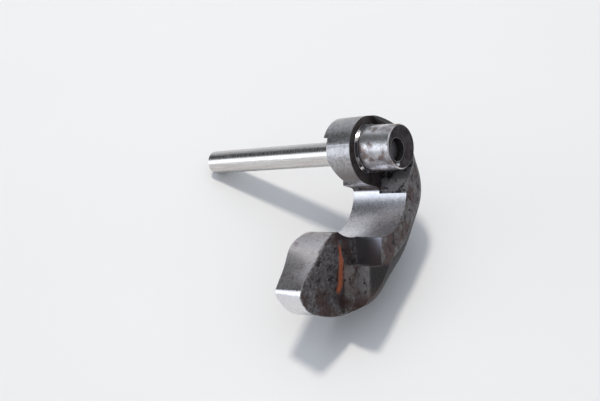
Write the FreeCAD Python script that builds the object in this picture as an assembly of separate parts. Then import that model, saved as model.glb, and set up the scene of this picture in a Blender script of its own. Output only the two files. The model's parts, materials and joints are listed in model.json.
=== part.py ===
import FreeCAD, Part
import math
import os

# A small steel pivot arm: a C-shaped forging with a round boss, an eccentric bush that
# turns in the boss, and a ground pivot pin staked into the bush's off-centre hole.
#
# The part is drawn in its design frame, in millimetres: +X runs along the pin from its free
# end towards the bush's head, X = 0 is the boss's front face, and the pin's axis is Y = Z = 0.
# The last step turns every solid into the pose in which the part lies on a table.

# Pivot pin
PIN_R = 3.0
PIN_TAIL_X = -51.8
PIN_HEAD_X = 7.5
PIN_CHAMFER = 0.45
PIN_SEAT_R = 2.7
PIN_SEAT_X = -8.3

# Eccentric bush, on the boss's axis
BUSH_Y = 1.72
BUSH_Z = 0.8
SHANK_R = 5.4
SHANK_CLEARANCE = 0.04
SHANK_BACK_X = -6.7
COLLAR_R = 6.2
COLLAR_FRONT_X = 0.8
COLLAR_GAP = 0.1
HEAD_BASE_R = 5.74
HEAD_END_R = 5.26
HEAD_END_X = 9.07
HEAD_CHAMFER = 0.25
STAKE_R = 0.7
STAKE_DEPTH = 0.8

# Arm: one forging, half of it behind the boss's front face and half in front
BACK_X = -7.82
FRONT_X = 7.82
BOSS_Y = 2.0
BOSS_Z = 0.42
BOSS_R = 8.26
BOSS_LUG_X = -8.1
SLOT_FLOOR_X = -6.9
SLOT_HIGH_Z = 3.5
SLOT_SLOPE_Z = -1.8
SLOT_END_X = -5.2
SLOT_LOW_Z = -6.6
RUNOUT_Y = 1.4
RUNOUT_X = -4.6
RUNOUT_Z = -8.2
BORE_Y = -5.62
BORE_Z = -9.26
BORE_R = 10.76
NECK_START_Y = 1.0
NECK_START_Z = -7.77
NECK_END_Y = 5.0
NECK_END_Z = -8.4
NECK_FILLET = 1.3
LEDGE_Z = -9.85
RELIEF_R = 0.3
POCKET_FLOOR_Z = -26.3
COLLAR_ROOM_R = 6.6

# Outer line of the arm, from the top of the boss round the back to the heel: (Y, Z), then the
# draft of the raised front half there (mm in per mm of depth) and the rounding of its edge
OUTER_LINE = [
    (1.95, 8.70, 0.0, 6.8),
    (5.8, 8.38, 0.0, 6.8),
    (9.6, 6.2, 0.0, 6.8),
    (12.5, 0.3, 0.0, 6.8),
    (14.9, -5.0, 0.0, 6.8),
    (15.2, -11.0, 0.0, 6.8),
    (13.0, -18.5, 0.17, 7.0),
    (9.4, -25.5, 0.28, 7.2),
    (4.2, -31.3, 0.42, 7.0),
    (-1.7, -35.6, 0.45, 4.5),
    (-7.7, -37.4, 0.4, 2.4),
    (-12.5, -37.7, 0.4, 2.0),
    (-18.0, -36.9, 0.4, 2.0),
]
EDGE_BREAK = 20.0
# Side of the tip on the back and front faces, from the mouth of the bore to the nose's edge,
# and the nose from there round to the heel
TIP_BACK = [(-12.9, -18.75), (-15.9, -20.0), (-18.6, -22.1), (-20.2, -25.6), (-22.2, -29.1),
            (-23.35, -31.0)]
TIP_FRONT = [(-12.5, -18.95), (-14.8, -20.8), (-16.9, -23.2), (-19.6, -26.3), (-22.2, -29.1),
             (-23.35, -31.0)]
NOSE_BACK = [(-23.35, -31.0), (-23.4, -32.2), (-22.2, -33.9), (-20.1, -35.7), (-18.0, -36.9)]
NOSE_FRONT = [(-23.35, -31.0), (-23.5, -32.3), (-22.8, -34.2), (-20.6, -36.1), (-18.0, -36.9)]
TIP_MOUTH = (-10.6, -18.55)
# Where the raised front half ends, as (Y, Z) lines: the forged wall above the ledge, the
# machined wall below the bore, and the forged step over the tip
FORGED_WALL = [(5.3, LEDGE_Z), (5.8, -6.5), (8.2, -3.0), (8.5, 0.8), (7.0, 5.2), (4.1, 7.4), (2.2, 8.6)]
MACHINED_WALL_Y = (-3.9, -5.1)
STEP_WALL_Y = (-9.1, -9.9)
HORN_FRONT_Z = 0.3
HORN_BACK_Z = 9.2

# Stop lug on the web's outer edge: where its round end is centred
LUG_Y = 17.2
LUG_Z = -15.17
LUG_R = 2.0
LUG_FRONT_X = -4.8
LUG_ROOT = [(10.5, -19.5), (12.5, -9.5)]

# The table's upward direction in the design frame when the part lies on the tip of its pin, the
# lug and the back edge of the arm
TABLE_UP = (0.44955, -0.64057, 0.62256)


def vec(x, y, z):
    return FreeCAD.Vector(x, y, z)


def cylinder(radius, x_start, x_end, y, z):
    """A cylinder along X."""
    return Part.makeCylinder(radius, x_end - x_start, vec(x_start, y, z), vec(1, 0, 0))


def cone(r_start, r_end, x_start, x_end, y, z):
    """A cone along X."""
    return Part.makeCone(r_start, r_end, x_end - x_start, vec(x_start, y, z), vec(1, 0, 0))


def prism(points, x_start, x_end):
    """A polygon of (Y, Z) corners, drawn out along X."""
    corners = [vec(x_start, y, z) for y, z in points]
    face = Part.Face(Part.makePolygon(corners + corners[:1]))
    return face.extrude(vec(x_end - x_start, 0, 0))


def edge_prism(points, y_start, y_end):
    """A polygon of (X, Z) corners, drawn out along Y."""
    corners = [vec(x, y_start, z) for x, z in points]
    face = Part.Face(Part.makePolygon(corners + corners[:1]))
    return face.extrude(vec(0, y_end - y_start, 0))


def slab(points, z_low, z_high):
    """A polygon of (X, Y) corners, drawn up along Z."""
    corners = [vec(x, y, z_low) for x, y in points]
    face = Part.Face(Part.makePolygon(corners + corners[:1]))
    return face.extrude(vec(0, 0, z_high - z_low))


def spline(points):
    """A smooth curve through the points."""
    curve = Part.BSplineCurve()
    curve.interpolate(points)
    return curve


def closed_wire(curve, corners):
    """A curve closed by straight lines through the corners."""
    ends = [curve.EndPoint] + corners + [curve.StartPoint]
    lines = [Part.makeLine(a, b) for a, b in zip(ends, ends[1:])]
    return Part.Wire(Part.__sortEdges__([curve.toShape()] + lines))


def outer_curve(x, depth):
    """The arm's outer line at x, drawn in by the draft and the rounding at that depth."""
    break_angle = math.radians(EDGE_BREAK)
    base = spline([vec(0, y, z) for y, z, draft, rounding in OUTER_LINE])
    points = []
    for y, z, draft, rounding in OUTER_LINE:
        tangent = base.tangent(base.parameter(vec(0, y, z)))[0]
        inward = vec(0, tangent.z, -tangent.y)
        rise = max(0.0, depth - (FRONT_X - rounding * math.cos(break_angle)))
        shift = draft * depth + rounding - math.sqrt(rounding ** 2 - rise ** 2)
        points.append(vec(x, y, z) + inward * shift)
    return spline(points)


def tip_outline(x, side, nose):
    """The closed outline of the tip and heel at x."""
    edges = [spline([vec(x, y, z) for y, z in line]).toShape() for line in (side, nose)]
    corners = [nose[-1], (-2.0, -30.0), (2.0, -20.0), (BORE_Y, BORE_Z), TIP_MOUTH, side[0]]
    edges += [Part.makeLine(vec(x, *a), vec(x, *b)) for a, b in zip(corners, corners[1:])]
    return Part.Wire(Part.__sortEdges__(edges))


def web_corners(x):
    """Corners that close the outer line inside the tip, the bore and the boss."""
    return [vec(x, -14.0, -30.0), vec(x, BORE_Y, BORE_Z), vec(x, NECK_START_Y, NECK_START_Z - 1.0),
            vec(x, NECK_START_Y, BOSS_Z)]


def back_half():
    """The arm behind the boss's front face: web, boss and tip."""
    web = Part.Face(closed_wire(outer_curve(BACK_X, 0), web_corners(BACK_X)))
    web = web.extrude(vec(-BACK_X, 0, 0))
    tip_ends = [tip_outline(BACK_X, TIP_BACK, NOSE_BACK), tip_outline(0, TIP_FRONT, NOSE_FRONT)]
    tip = Part.makeLoft(tip_ends, True, True)
    boss = cylinder(BOSS_R, BOSS_LUG_X, 0, BOSS_Y, BOSS_Z)
    return web.fuse([tip, boss, stop_lug()])


def stop_lug():
    """A flat lug with a round end on the web's outer edge."""
    low, high = [vec(BACK_X, *corner) for corner in LUG_ROOT]
    centre = vec(BACK_X, LUG_Y, LUG_Z)
    along = (centre - (low + high) * 0.5).normalize()
    side = vec(0, -along.z, along.y) * LUG_R
    end = Part.Arc(centre - side, centre + along * LUG_R, centre + side).toShape()
    corners = [centre + side, high, low, centre - side]
    lines = [Part.makeLine(a, b) for a, b in zip(corners, corners[1:])]
    outline = Part.Wire(Part.__sortEdges__([end] + lines))
    return Part.Face(outline).extrude(vec(LUG_FRONT_X - BACK_X, 0, 0))


def front_half():
    """The raised front half: a crescent from behind the bush's head down to the heel."""
    wires = []
    for x in (0.0, 2.0, 4.0, 5.4, 6.5, 7.3, FRONT_X - 0.12, FRONT_X):
        wires.append(closed_wire(outer_curve(x, x), web_corners(x)))
    blank = Part.makeLoft(wires, True, False)
    far = 40.0
    wall_back, wall_front = MACHINED_WALL_Y
    step_back, step_front = STEP_WALL_Y
    pocket = slab([(0, -far), (0, wall_back), (FRONT_X + 1, wall_front), (FRONT_X + 1, -far)],
                  POCKET_FLOOR_Z, LEDGE_Z)
    step = slab([(0, -far), (0, step_back), (FRONT_X + 1, step_front), (FRONT_X + 1, -far)],
                -far, POCKET_FLOOR_Z)
    above = prism(FORGED_WALL + [(2.2, far), (-far, far), (-far, LEDGE_Z)], 0, FRONT_X + 1)
    slope = [(0, HORN_BACK_Z), (FRONT_X + 1, HORN_FRONT_Z)]
    horn = edge_prism(slope + [(FRONT_X + 1, far), (0, far)], -far, far)
    room = cylinder(COLLAR_ROOM_R, 0, FRONT_X + 1, BUSH_Y, BUSH_Z)
    relief = cylinder(RELIEF_R, 0, FRONT_X + 1, FORGED_WALL[0][0], LEDGE_Z + RELIEF_R)
    return blank.cut([pocket, step, above, horn, room, relief])


def bore_cutter():
    """The round cutter of the bore, stopped short under the boss with a rounded corner."""
    round_part = cylinder(BORE_R, BACK_X - 1, FRONT_X + 1, BORE_Y, BORE_Z)
    slope = (NECK_END_Z - NECK_START_Z) / (NECK_END_Y - NECK_START_Y)
    top = [(y, NECK_START_Z + slope * (y - NECK_START_Y)) for y in (-30.0, 30.0)]
    cutter = round_part.common(prism([(-30.0, -60.0)] + top + [(30.0, -60.0)], BACK_X - 2, FRONT_X + 2))
    corner = [e for e in cutter.Edges if e.BoundBox.XLength > 10 and e.BoundBox.YMin > 0]
    return cutter.makeFillet(NECK_FILLET, corner)


def back_slot():
    """A shallow slot milled across the back of the boss, running out on a slope."""
    outside = -20.0
    floor = [(outside, SLOT_HIGH_Z), (SLOT_FLOOR_X, SLOT_HIGH_Z), (SLOT_FLOOR_X, SLOT_SLOPE_Z),
             (SLOT_END_X, SLOT_LOW_Z)]
    slot = edge_prism(floor + [(outside, SLOT_LOW_Z)], -20.0, 30.0)
    runout = edge_prism(floor + [(RUNOUT_X, RUNOUT_Z), (outside, RUNOUT_Z)], -20.0, RUNOUT_Y)
    return slot.fuse(runout)


def arm():
    body = back_half().fuse(front_half())
    hole = cylinder(SHANK_R + SHANK_CLEARANCE, -20, 20, BUSH_Y, BUSH_Z)
    return body.cut([bore_cutter(), back_slot(), hole]).removeSplitter()


def eccentric_bush():
    """Shank, thin collar and tapered head in one, with the pin's hole off its centre."""
    shank = cylinder(SHANK_R, SHANK_BACK_X, COLLAR_GAP, BUSH_Y, BUSH_Z)
    collar = cone(COLLAR_R, COLLAR_R - 0.35, COLLAR_GAP, COLLAR_FRONT_X, BUSH_Y, BUSH_Z)
    head_stop = HEAD_END_X - HEAD_CHAMFER
    head = cone(HEAD_BASE_R, HEAD_END_R, COLLAR_GAP, head_stop, BUSH_Y, BUSH_Z)
    nose = cone(HEAD_END_R, HEAD_END_R - HEAD_CHAMFER, head_stop, HEAD_END_X, BUSH_Y, BUSH_Z)
    hole = cylinder(PIN_SEAT_R, SHANK_BACK_X - 1, HEAD_END_X + 1, 0, 0)
    stake = cone(0.0, STAKE_R, HEAD_END_X - STAKE_DEPTH, HEAD_END_X + 0.01, 0.25, -PIN_SEAT_R - 0.45)
    return shank.fuse([collar, head, nose]).cut([hole, stake]).removeSplitter()


def pivot_pin():
    """The pin, with a narrower seat and a shoulder where the bush holds it."""
    free_end = cylinder(PIN_R, PIN_TAIL_X, PIN_SEAT_X, 0, 0)
    body = free_end.fuse(cylinder(PIN_SEAT_R, PIN_SEAT_X, PIN_HEAD_X, 0, 0))
    tail_side = PIN_TAIL_X + 0.1
    head_side = PIN_HEAD_X - 0.1
    rims = [e for e in body.Edges if e.BoundBox.XMax < tail_side or e.BoundBox.XMin > head_side]
    return body.makeChamfer(PIN_CHAMFER, rims)


def turn_to_table(shapes):
    """Turn the solids until the table's up is +Z and the pin points along +X, and set them on Z = 0."""
    up = vec(*TABLE_UP).normalize()
    along = (vec(1, 0, 0) - up * up.x).normalize()
    across = up.cross(along)
    matrix = FreeCAD.Matrix(*along, 0, *across, 0, *up, 0, 0, 0, 0, 1)
    box = Part.makeCompound([s.transformed(matrix, True) for s in shapes]).optimalBoundingBox(False)
    matrix.A14 = -box.Center.x
    matrix.A24 = -box.Center.y
    matrix.A34 = -box.ZMin
    return [s.transformed(matrix, True) for s in shapes]


def build():
    names = ["crescent_arm", "eccentric_bush", "pivot_pin"]
    return dict(zip(names, turn_to_table([arm(), eccentric_bush(), pivot_pin()])))


if __name__ == "__main__":
    os.makedirs("parts", exist_ok=True)
    for name, shape in build().items():
        print(name, shape.isValid(), len(shape.Solids), round(shape.Volume, 1), shape.BoundBox)
        shape.exportStep("parts/" + name + ".step")
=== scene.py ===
import json
import math
from types import SimpleNamespace
import bpy
from mathutils import Matrix, Vector

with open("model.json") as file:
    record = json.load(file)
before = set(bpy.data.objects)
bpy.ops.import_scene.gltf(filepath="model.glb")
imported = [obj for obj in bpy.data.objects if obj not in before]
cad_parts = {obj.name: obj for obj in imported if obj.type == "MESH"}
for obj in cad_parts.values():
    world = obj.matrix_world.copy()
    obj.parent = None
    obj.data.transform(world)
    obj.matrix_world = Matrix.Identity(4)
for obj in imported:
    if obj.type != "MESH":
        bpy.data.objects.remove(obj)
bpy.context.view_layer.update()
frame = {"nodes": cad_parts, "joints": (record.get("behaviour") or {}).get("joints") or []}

# The table's upward direction in the design frame: +X along the pin, +Y across, +Z up the boss
TABLE_UP = Vector((0.44955, -0.64057, 0.62256)).normalized()
# Places and sizes in the design frame, in millimetres, as in the CAD source
BUSH_CENTRE = (1.72, 0.8)
BOSS_CENTRE = (2.0, 0.42)
BOSS_R = 8.26
BORE_CENTRE = (-5.62, -9.26)
BORE_R = 10.76
ARM_MIDDLE = (-4.0, -12.0)
MACHINED_WALL_Y = -4.4
POCKET_FLOOR_Z = -26.3

# Camera and lights, in metres
CAMERA_PLACE = (0.082056, -0.113674, 0.184017)
CAMERA_LOOK = (-0.35729, 0.53029, -0.76885)
CAMERA_RIGHT = (0.88617, 0.45250, -0.09972)
CAMERA_LENS = 54.24
KEY_DIRECTION = (-0.2006, 0.2264, 0.9532)
KEY_DISTANCE = 0.9
KEY_SIZE = 0.13
KEY_POWER = 3.5
KEY_COLOUR = (1.0, 0.94, 0.86)

# The surroundings' colour and brightness, then patches of them: azimuth, elevation, inner and
# outer half-width in degrees, and brightness there
WORLD_COLOUR = (0.86, 0.915, 1.0, 1.0)
WORLD_LEVEL = 0.56
WORLD_LOBES = [
    (125.0, 55.0, 15.0, 50.0, 1.0),
    (178.0, 23.0, 12.0, 28.0, 0.05),
    (-148.0, 9.0, 7.0, 21.0, 2.7),
]

# Linear colours
RUST = (0.060, 0.030, 0.026)
DARK_CORNER_TONE = (0.026, 0.010, 0.011)
RIM_BROWN = (0.038, 0.026, 0.025)
TIP_STAIN = (0.20, 0.10, 0.085)
HEAD_STAIN = (0.17, 0.105, 0.085)
ORANGE = (0.42, 0.11, 0.045)


def design_axes():
    """The design frame's axes as the columns of a rotation, in the row frame."""
    along = (Vector((1, 0, 0)) - TABLE_UP * TABLE_UP.x).normalized()
    across = TABLE_UP.cross(along)
    return Matrix((along, across, TABLE_UP))


AXES = design_axes()
JOINT = frame["joints"][0]
ORIGIN = Vector(JOINT["pos_m"]) - AXES @ Vector((0, *BUSH_CENTRE)) * 0.001


class Paint:
    """A short way to write a shader: most methods return an output socket."""

    def __init__(self, name):
        self.material = bpy.data.materials.new(name)
        self.material.use_nodes = True
        self.tree = self.material.node_tree
        self.tree.nodes.clear()
        self.coords = self.node("TexCoord", {})
        turn = AXES.transposed().to_euler()
        self.place = self.node("Mapping", {
            "Vector": self.coords.outputs["Object"],
            "Location": AXES.transposed() @ ORIGIN * -1000.0,
            "Rotation": turn,
            "Scale": (1000, 1000, 1000),
        }).outputs[0]
        self.facing = self.node("Mapping", {
            "Vector": self.coords.outputs["Normal"], "Rotation": turn}, vector_type="VECTOR").outputs[0]
        self.x, self.y, self.z = self.split(self.place)
        self.nx, self.ny, self.nz = self.split(self.facing)

    def node(self, kind, inputs, **settings):
        made = self.tree.nodes.new("ShaderNode" + kind)
        for key, value in settings.items():
            setattr(made, key, value)
        for key, value in inputs.items():
            if isinstance(value, bpy.types.NodeSocket):
                self.tree.links.new(value, made.inputs[key])
            else:
                made.inputs[key].default_value = value
        return made

    def split(self, vector):
        return self.node("SeparateXYZ", {0: vector}).outputs[:3]

    def math(self, operation, a, b=0.0):
        return self.node("Math", {0: a, 1: b}, operation=operation).outputs[0]

    def both(self, *masks):
        result = masks[0]
        for mask in masks[1:]:
            result = self.math("MULTIPLY", result, mask)
        return result

    def either(self, a, b):
        return self.math("MAXIMUM", a, b)

    def invert(self, mask):
        return self.math("SUBTRACT", 1.0, mask)

    def step(self, value, low, high):
        """0 below low and 1 above high, smooth between; low above high turns it round."""
        return self.node("MapRange", {"Value": value, "From Min": low, "From Max": high},
                         interpolation_type="SMOOTHSTEP").outputs[0]

    def near(self, value, middle, width, soft):
        away = self.math("ABSOLUTE", self.math("SUBTRACT", value, middle))
        return self.step(away, width + soft, width)

    def radius(self, centre):
        across = self.math("SUBTRACT", self.y, centre[0])
        up = self.math("SUBTRACT", self.z, centre[1])
        square = self.math("ADD", self.math("MULTIPLY", across, across), self.math("MULTIPLY", up, up))
        return self.math("SQRT", square)

    def outward(self, centre):
        """How far the surface faces away from a centre line along the pin's direction."""
        arm = self.node("CombineXYZ", {1: self.math("SUBTRACT", self.y, centre[0]),
                                       2: self.math("SUBTRACT", self.z, centre[1])}).outputs[0]
        arm = self.node("VectorMath", {0: arm}, operation="NORMALIZE").outputs[0]
        return self.node("VectorMath", {0: arm, 1: self.facing}, operation="DOT_PRODUCT").outputs["Value"]

    def scaled(self, scale, shift=(0, 0, 0)):
        return self.node("Mapping", {"Vector": self.place, "Scale": scale, "Location": shift}).outputs[0]

    def noise(self, scale, detail=4.0, rough=0.6, stretch=(1, 1, 1), shift=(0, 0, 0), warp=0.0):
        return self.node("TexNoise", {
            "Vector": self.scaled(stretch, shift), "Scale": scale, "Detail": detail,
            "Roughness": rough, "Distortion": warp}).outputs[0]

    def cells(self, scale, shift=(0, 0, 0)):
        return self.node("TexVoronoi", {"Vector": self.scaled((1, 1, 1), shift), "Scale": scale}).outputs[0]

    def mix(self, factor, a, b):
        """a where factor is 0 and b where it is 1, for colours."""
        made = self.node("Mix", {0: factor}, data_type="RGBA")
        for slot, value in ((6, a), (7, b)):
            if isinstance(value, bpy.types.NodeSocket):
                self.tree.links.new(value, made.inputs[slot])
            else:
                made.inputs[slot].default_value = (*value, 1.0)
        return made.outputs[2]

    def blend(self, factor, a, b):
        """a where factor is 0 and b where it is 1, for numbers."""
        return self.node("Mix", {0: factor, 2: a, 3: b}).outputs[0]

    def edge(self, radius, sharpest=0.86):
        """1 near an edge, 0 on flat stretches; sharpest nearer 1 also finds blunt edges."""
        rounded = self.node("Bevel", {"Radius": radius}, samples=6).outputs[0]
        true = self.node("NewGeometry", {}).outputs["Normal"]
        dot = self.node("VectorMath", {0: rounded, 1: true}, operation="DOT_PRODUCT").outputs["Value"]
        return self.step(dot, 0.998, sharpest)

    def finish(self, colour, metallic, roughness, height, bump_mm=0.02):
        bump = self.node("Bump", {"Height": height, "Distance": bump_mm * 0.001, "Strength": 1.0})
        shader = self.node("BsdfPrincipled", {"Base Color": colour, "Metallic": metallic,
                                              "Roughness": roughness, "Normal": bump.outputs[0]})
        self.node("OutputMaterial", {"Surface": shader.outputs[0]})
        return self.material


def grey(level, warm=0.0, blue=0.0):
    """A dark-to-light neutral from an 0-255 display level."""
    def linear(value):
        value = max(value, 0.0) / 255.0
        return value / 12.92 if value <= 0.04045 else ((value + 0.055) / 1.055) ** 2.4
    return (linear(level + warm), linear(level), linear(level + blue))


def arm_masks(p):
    """Where each kind of surface is on the arm, and the noises that several of them share."""
    m = SimpleNamespace()
    sideways = p.step(p.math("ABSOLUTE", p.nx), 0.35, 0.2)
    m.faces_front = p.step(p.nx, 0.8, 0.95)
    m.boss = p.both(p.near(p.radius(BOSS_CENTRE), BOSS_R, 0.12, 0.05), sideways, p.step(p.x, 0.3, 0.1))
    m.bore = p.both(p.near(p.radius(BORE_CENTRE), BORE_R, 0.08, 0.04), sideways)
    ragged = p.math("ADD", p.x, p.math("MULTIPLY", p.noise(0.8, 4.0, 0.6, shift=(2, 2, 6)), 1.6))
    m.tip_side = p.both(p.step(p.y, -11.6, -12.2), p.step(ragged, 0.7, 0.2), sideways)
    m.nose = p.both(m.tip_side, p.step(p.z, -31.0, -31.2))
    m.pocket = p.both(p.step(p.ny, -0.9, -0.97), p.near(p.y, MACHINED_WALL_Y, 1.0, 0.1),
                      p.step(p.z, POCKET_FLOOR_Z - 0.1, POCKET_FLOOR_Z))
    m.smooth = p.either(p.either(m.boss, m.bore), m.tip_side)
    low_front = p.both(p.step(p.z, POCKET_FLOOR_Z + 0.6, POCKET_FLOOR_Z - 0.6),
                       p.step(p.x, 3.0, 5.0), p.step(p.y, -10.0, -8.6))
    # Painted shade: the outer rounding turns away from the lamp and is painted near black, on top of its
    # dark pitted scale
    outer_rounding_shade = p.both(p.step(p.outward(ARM_MIDDLE), 0.12, 0.3), p.step(p.x, -7.0, -3.0),
                      p.step(p.y, -6.0, 0.0))
    m.black = p.either(low_front, outer_rounding_shade)
    m.blotch = p.noise(0.22, 5.0, 0.62, shift=(3, 8, 1))
    m.mottle = p.noise(1.1, 6.0, 0.7, shift=(9, 2, 4))
    m.grain = p.noise(5.0, 3.0, 0.6)
    m.pits = p.step(p.noise(2.6, 3.0, 0.55, shift=(1, 7, 5)), 0.60, 0.70)
    m.fine_pits = p.step(p.cells(3.2), 0.22, 0.10)
    return m


def forged_colour(p, m):
    """Dark forge scale with rust, spots and pits, with painted light on the faces turned to the lamp and
    painted shade on the outer rounding.
    """
    forged = p.mix(p.step(m.mottle, 0.38, 0.66), grey(76, 5, 1), grey(124, 3, 0))
    # Painted light: forged faces turned towards -Y, the side the lamp falls on, are painted lighter
    painted_lit_side = p.both(p.step(p.ny, -0.3, -0.5), p.step(p.x, 0.2, 0.5), p.invert(m.pocket))
    forged = p.mix(p.math("MULTIPLY", painted_lit_side, 0.7), forged, grey(146, 3, 1))
    forged = p.mix(p.both(p.step(m.blotch, 0.50, 0.62), 0.85), forged, grey(58, 20, -3))
    forged = p.mix(p.math("MULTIPLY", m.pits, 0.92), forged, grey(24, 4, 0))
    spots = p.step(p.noise(0.5, 6.0, 0.7, shift=(8, 3, 2)), 0.54, 0.60)
    forged = p.mix(p.math("MULTIPLY", spots, 0.9), forged, grey(26, 10, -1))
    # Near black pitted scale on the low front and the outer rounding, with painted shade on the rounding
    black_colour = p.mix(p.step(m.grain, 0.54, 0.70), grey(8, 3, 1), grey(44, 8, 3))
    forged = p.mix(m.black, forged, black_colour)
    rust_low = p.both(p.step(p.z, -29.0, -34.5), p.step(m.blotch, 0.38, 0.5))
    forged = p.mix(p.math("MULTIPLY", rust_low, 0.75), forged, RUST)
    # The tip's upper front corner, just under the bore, is painted darker
    dark_corner = p.both(p.near(p.y, -8.5, 2.6, 1.5), p.near(p.z, -19.4, 0.6, 1.2), p.near(p.x, 0.0, 1.5, 1.0))
    forged = p.mix(p.math("MULTIPLY", dark_corner, 0.85), forged, DARK_CORNER_TONE)
    boss_rim = p.both(m.faces_front, p.near(p.x, 0.0, 0.3, 0.2), p.step(p.z, -8.8, -7.8))
    return p.mix(p.math("MULTIPLY", boss_rim, p.step(m.mottle, 0.3, 0.6)), forged, RIM_BROWN)


def machined_colour(p, m):
    """Bright machined steel on the boss, the bore, the tip's side and the nose, with a painted highlight on
    the nose.
    """
    boss_colour = p.mix(p.step(m.mottle, 0.35, 0.65), grey(150, 3, 0), grey(184, 2, 2))
    # The boss is darker towards its lower side
    boss_colour = p.mix(p.step(p.z, -1.5, -6.5), boss_colour, grey(118, 5, 0))
    base_noise = p.noise(0.5, 5.0, 0.6, shift=(5, 5, 5))
    machined = p.mix(p.step(base_noise, 0.3, 0.75), grey(182, 1, 3), grey(204, 1, 4))
    machined = p.mix(m.boss, machined, boss_colour)
    bore_colour = p.mix(p.step(m.mottle, 0.35, 0.65), grey(206, 1, 4), grey(226, 1, 5))
    machined = p.mix(m.bore, machined, bore_colour)
    machined = p.mix(m.tip_side, machined, p.mix(m.mottle, grey(158, 6, 0), grey(196, 4, 0)))
    # Painted highlight: the nose facet gets a lighter copy of the tip's steel
    machined = p.mix(m.nose, machined, p.mix(m.mottle, grey(212, 2, 2), grey(232, 1, 2)))
    specks = p.step(p.noise(3.0, 4.0, 0.6, shift=(2, 4, 4)), 0.68, 0.76)
    machined = p.mix(p.math("MULTIPLY", specks, 0.7), machined, grey(80, 8, 0))
    stain = p.step(p.noise(0.55, 4.0, 0.6, shift=(4, 1, 9)), 0.56, 0.68)
    return p.mix(p.both(stain, m.tip_side, p.invert(m.nose), 0.55), machined, TIP_STAIN)


def paint_stripe(p, m):
    """The mask of the bowed orange paint mark on the tip's front face."""
    line = p.math("ADD", p.math("MULTIPLY", p.noise(0.25, 2.0, 0.5, shift=(0, 0, 7)), 1.6), -10.65)
    above = p.math("SUBTRACT", p.z, -26.6)
    bow = p.math("MULTIPLY", p.math("MULTIPLY", above, above), 0.035)
    across = p.math("ABSOLUTE", p.math("SUBTRACT", p.y, p.math("SUBTRACT", line, bow)))
    narrow = p.math("MULTIPLY", p.step(p.z, -28.0, -22.0), 0.4)
    stripe = p.both(p.step(p.math("ADD", across, narrow), 1.15, 0.5), p.step(p.z, -33.0, -31.6),
                    p.step(p.z, -21.0, -22.6), m.faces_front, p.near(p.x, 0.0, 0.2, 0.1))
    return p.math("MULTIPLY", stripe, p.step(p.noise(1.4, 5.0, 0.7, shift=(6, 6, 1)), 0.25, 0.5))


def arm_material():
    p = Paint("forged_arm")
    m = arm_masks(p)
    colour = p.mix(m.smooth, forged_colour(p, m), machined_colour(p, m))
    # Painted reflection: a bright bluish gradient towards the pocket's upper front corner
    painted_pocket_reflection = p.both(p.step(p.z, -25.0, -19.5), p.step(p.x, 2.5, 7.5))
    colour = p.mix(m.pocket, colour, p.mix(painted_pocket_reflection, grey(138, 0, 6), grey(236, -6, 16)))
    stripe = paint_stripe(p, m)
    colour = p.mix(p.math("MULTIPLY", stripe, 0.9), colour, ORANGE)
    wear = p.both(p.edge(0.00035), p.step(m.mottle, 0.42, 0.6), p.invert(stripe))
    colour = p.mix(p.math("MULTIPLY", wear, 0.45), colour, grey(150, 2, 0))
    # Painted highlight: a light line along the front face's outer edge
    edge_highlight = p.both(p.edge(0.00045, 0.982), p.step(p.x, 6.9, 7.5), p.step(m.grain, 0.30, 0.45),
                   p.step(p.radius(BORE_CENTRE), 13.0, 14.0), p.step(p.y, -1.0, 1.0))
    colour = p.mix(p.math("MULTIPLY", edge_highlight, 0.8), colour, grey(176, 2, 0))

    metallic = p.blend(p.either(m.smooth, p.either(m.pocket, wear)), 0.55, 0.95)
    metallic = p.math("MULTIPLY", metallic, p.invert(stripe))
    roughness = p.blend(m.smooth, p.blend(m.grain, 0.42, 0.62), p.blend(m.mottle, 0.2, 0.36))
    roughness = p.blend(m.black, roughness, 0.45)
    roughness = p.blend(m.pocket, roughness, 0.3)
    rough_height = p.math("ADD", p.math("MULTIPLY", m.mottle, 2.2), p.math("MULTIPLY", m.grain, 0.5))
    pit_depth = p.math("ADD", m.pits, p.math("MULTIPLY", m.fine_pits, 0.4))
    rough_height = p.math("SUBTRACT", rough_height, pit_depth)
    lathe = p.noise(9.0, 2.0, 0.5, stretch=(3.0, 0.4, 0.4))
    height = p.blend(p.either(m.smooth, m.pocket), rough_height, p.math("MULTIPLY", lathe, 0.25))
    return p.finish(colour, metallic, roughness, height, 0.06)


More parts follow.
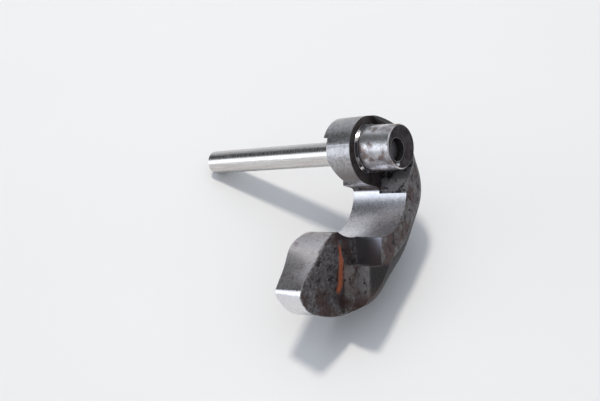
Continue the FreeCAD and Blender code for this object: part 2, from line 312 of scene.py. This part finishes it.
def bush_material():
    p = Paint("turned_bush")
    end_face = p.step(p.nx, 0.8, 0.95)
    collar = p.both(p.step(p.x, 1.1, 0.9), p.invert(end_face))
    mottle = p.noise(0.45, 4.0, 0.55, shift=(2, 9, 3))
    blotch = p.noise(0.3, 4.0, 0.6, shift=(7, 1, 1))
    colour = p.mix(p.step(mottle, 0.3, 0.7), grey(168, 3, 2), grey(214, 2, 1))
    colour = p.mix(p.both(p.step(blotch, 0.50, 0.60), 0.75), colour, HEAD_STAIN)
    specks = p.step(p.noise(2.4, 4.0, 0.6, shift=(2, 4, 8)), 0.64, 0.72)
    colour = p.mix(p.math("MULTIPLY", specks, 0.7), colour, grey(60, 6, 2))
    end_colour = p.mix(p.step(mottle, 0.35, 0.65), grey(34, 8, 2), grey(64, 5, 3))
    colour = p.mix(end_face, colour, end_colour)
    # Painted shade: the wall of the bush's bore is painted darker
    inside = p.both(p.step(p.radius((0.0, 0.0)), 3.3, 3.1), p.invert(end_face))
    colour = p.mix(inside, colour, grey(90, 2, 1))
    # Painted shade: the collar, where the head meets the boss, is painted dark in patches
    colour = p.mix(p.both(collar, p.step(mottle, 0.72, 0.5)), colour, grey(52, 5, 1))
    wear = p.edge(0.0003)
    colour = p.mix(p.math("MULTIPLY", wear, 0.5), colour, grey(190, 1, 0))
    roughness = p.blend(p.step(mottle, 0.3, 0.7), 0.34, 0.22)
    roughness = p.blend(end_face, roughness, 0.5)
    rings = p.noise(6.0, 2.0, 0.5, stretch=(4.0, 0.3, 0.3))
    height = p.math("ADD", p.math("MULTIPLY", mottle, 2.0), p.math("MULTIPLY", rings, 0.12))
    return p.finish(colour, 0.92, roughness, height, 0.03)


def pin_material():
    p = Paint("ground_pin")
    streaks = p.noise(3.0, 4.0, 0.6, stretch=(0.05, 1.0, 1.0))
    rings = p.noise(6.0, 3.0, 0.6, stretch=(2.0, 0.15, 0.15))
    spots = p.step(p.noise(2.2, 4.0, 0.65, shift=(5, 1, 2)), 0.62, 0.72)
    colour = p.mix(p.step(streaks, 0.3, 0.7), grey(190, 5, -4), grey(214, 3, -2))
    colour = p.mix(p.math("MULTIPLY", spots, 0.45), colour, grey(120, 9, -6))
    pores = p.step(p.noise(6.0, 2.0, 0.5, shift=(3, 3, 9)), 0.70, 0.78)
    colour = p.mix(p.math("MULTIPLY", pores, 0.7), colour, grey(60, 6, -2))
    roughness = p.blend(p.step(rings, 0.3, 0.7), 0.20, 0.32)
    roughness = p.blend(spots, roughness, 0.42)
    end = p.step(p.math("ABSOLUTE", p.nx), 0.8, 0.95)
    colour = p.mix(end, colour, p.mix(p.noise(1.2, 4.0, 0.6), grey(70, 4, 3), grey(120, 3, 3)))
    roughness = p.blend(end, roughness, 0.5)
    return p.finish(colour, 1.0, roughness, p.math("ADD", rings, streaks), 0.004)


def use_material(node, material):
    mesh = frame["nodes"][node].data
    mesh.materials.clear()
    mesh.materials.append(material)


def soften_edges(node, width_mm, angle=32.0):
    """A small real bevel on a CAD node's sharp edges."""
    made = frame["nodes"][node].modifiers.new("edge_round", "BEVEL")
    made.width = width_mm * 0.001
    made.segments = 2
    made.limit_method = "ANGLE"
    made.angle_limit = math.radians(angle)
    made.harden_normals = True


def add_camera():
    camera = bpy.data.objects.new("camera", bpy.data.cameras.new("camera"))
    bpy.context.scene.collection.objects.link(camera)
    look = Vector(CAMERA_LOOK).normalized()
    right = Vector(CAMERA_RIGHT).normalized()
    turn = Matrix((right, right.cross(look), -look)).transposed()
    camera.matrix_world = Matrix.Translation(CAMERA_PLACE) @ turn.to_4x4()
    camera.data.lens = CAMERA_LENS
    camera.data.sensor_width = 36.0
    camera.data.clip_start = 0.01
    bpy.context.scene.camera = camera


def add_key_light():
    light = bpy.data.lights.new("key", "AREA")
    light.shape = "DISK"
    light.size = KEY_SIZE
    light.energy = KEY_POWER
    light.color = KEY_COLOUR
    lamp = bpy.data.objects.new("key", light)
    bpy.context.scene.collection.objects.link(lamp)
    direction = Vector(KEY_DIRECTION).normalized()
    lamp.location = direction * KEY_DISTANCE
    lamp.rotation_euler = direction.to_track_quat("Z", "Y").to_euler()


def add_world():
    """Soft studio surroundings: grey all round, a bright card low on the left, a dark gap beside it."""
    world = bpy.data.worlds.new("studio")
    bpy.context.scene.world = world
    world.use_nodes = True
    tree = world.node_tree
    tree.nodes.clear()
    direction = tree.nodes.new("ShaderNodeTexCoord").outputs["Generated"]
    level = None
    for azimuth, height, inner, outer, strength in WORLD_LOBES:
        aim = (math.cos(math.radians(height)) * math.cos(math.radians(azimuth)),
               math.cos(math.radians(height)) * math.sin(math.radians(azimuth)),
               math.sin(math.radians(height)))
        dot = tree.nodes.new("ShaderNodeVectorMath")
        dot.operation = "DOT_PRODUCT"
        tree.links.new(direction, dot.inputs[0])
        dot.inputs[1].default_value = aim
        ramp = tree.nodes.new("ShaderNodeMapRange")
        ramp.interpolation_type = "SMOOTHSTEP"
        tree.links.new(dot.outputs["Value"], ramp.inputs["Value"])
        ramp.inputs["From Min"].default_value = math.cos(math.radians(outer))
        ramp.inputs["From Max"].default_value = math.cos(math.radians(inner))
        blend = tree.nodes.new("ShaderNodeMix")
        tree.links.new(ramp.outputs[0], blend.inputs[0])
        if level is None:
            blend.inputs[2].default_value = WORLD_LEVEL
        else:
            tree.links.new(level, blend.inputs[2])
        blend.inputs[3].default_value = strength
        level = blend.outputs[0]
    background = tree.nodes.new("ShaderNodeBackground")
    background.inputs["Color"].default_value = WORLD_COLOUR
    tree.links.new(level, background.inputs["Strength"])
    output = tree.nodes.new("ShaderNodeOutputWorld")
    tree.links.new(background.outputs[0], output.inputs[0])


def add_floor():
    """A plain pale sheet, very slightly uneven in tone."""
    bpy.ops.mesh.primitive_grid_add(x_subdivisions=8, y_subdivisions=8, size=6.0, location=(0, 0, 0))
    floor = bpy.context.object
    floor.name = "floor"
    material = bpy.data.materials.new("floor")
    material.use_nodes = True
    tree = material.node_tree
    shader = tree.nodes["Principled BSDF"]
    noise = tree.nodes.new("ShaderNodeTexNoise")
    noise.inputs["Scale"].default_value = 14.0
    coords = tree.nodes.new("ShaderNodeTexCoord")
    tree.links.new(coords.outputs["Object"], noise.inputs["Vector"])
    ramp = tree.nodes.new("ShaderNodeValToRGB")
    ramp.color_ramp.elements[0].color = (0.83, 0.83, 0.83, 1.0)
    ramp.color_ramp.elements[1].color = (0.86, 0.86, 0.855, 1.0)
    tree.links.new(noise.outputs[0], ramp.inputs[0])
    tree.links.new(ramp.outputs[0], shader.inputs["Base Color"])
    shader.inputs["Roughness"].default_value = 0.55
    floor.data.materials.append(material)


def main():
    scene = bpy.context.scene
    scene.view_settings.view_transform = "Standard"
    use_material("crescent_arm", arm_material())
    use_material("eccentric_bush", bush_material())
    use_material("pivot_pin", pin_material())
    soften_edges("crescent_arm", 0.16)
    soften_edges("eccentric_bush", 0.08)
    add_floor()
    add_world()
    add_key_light()
    add_camera()


main()
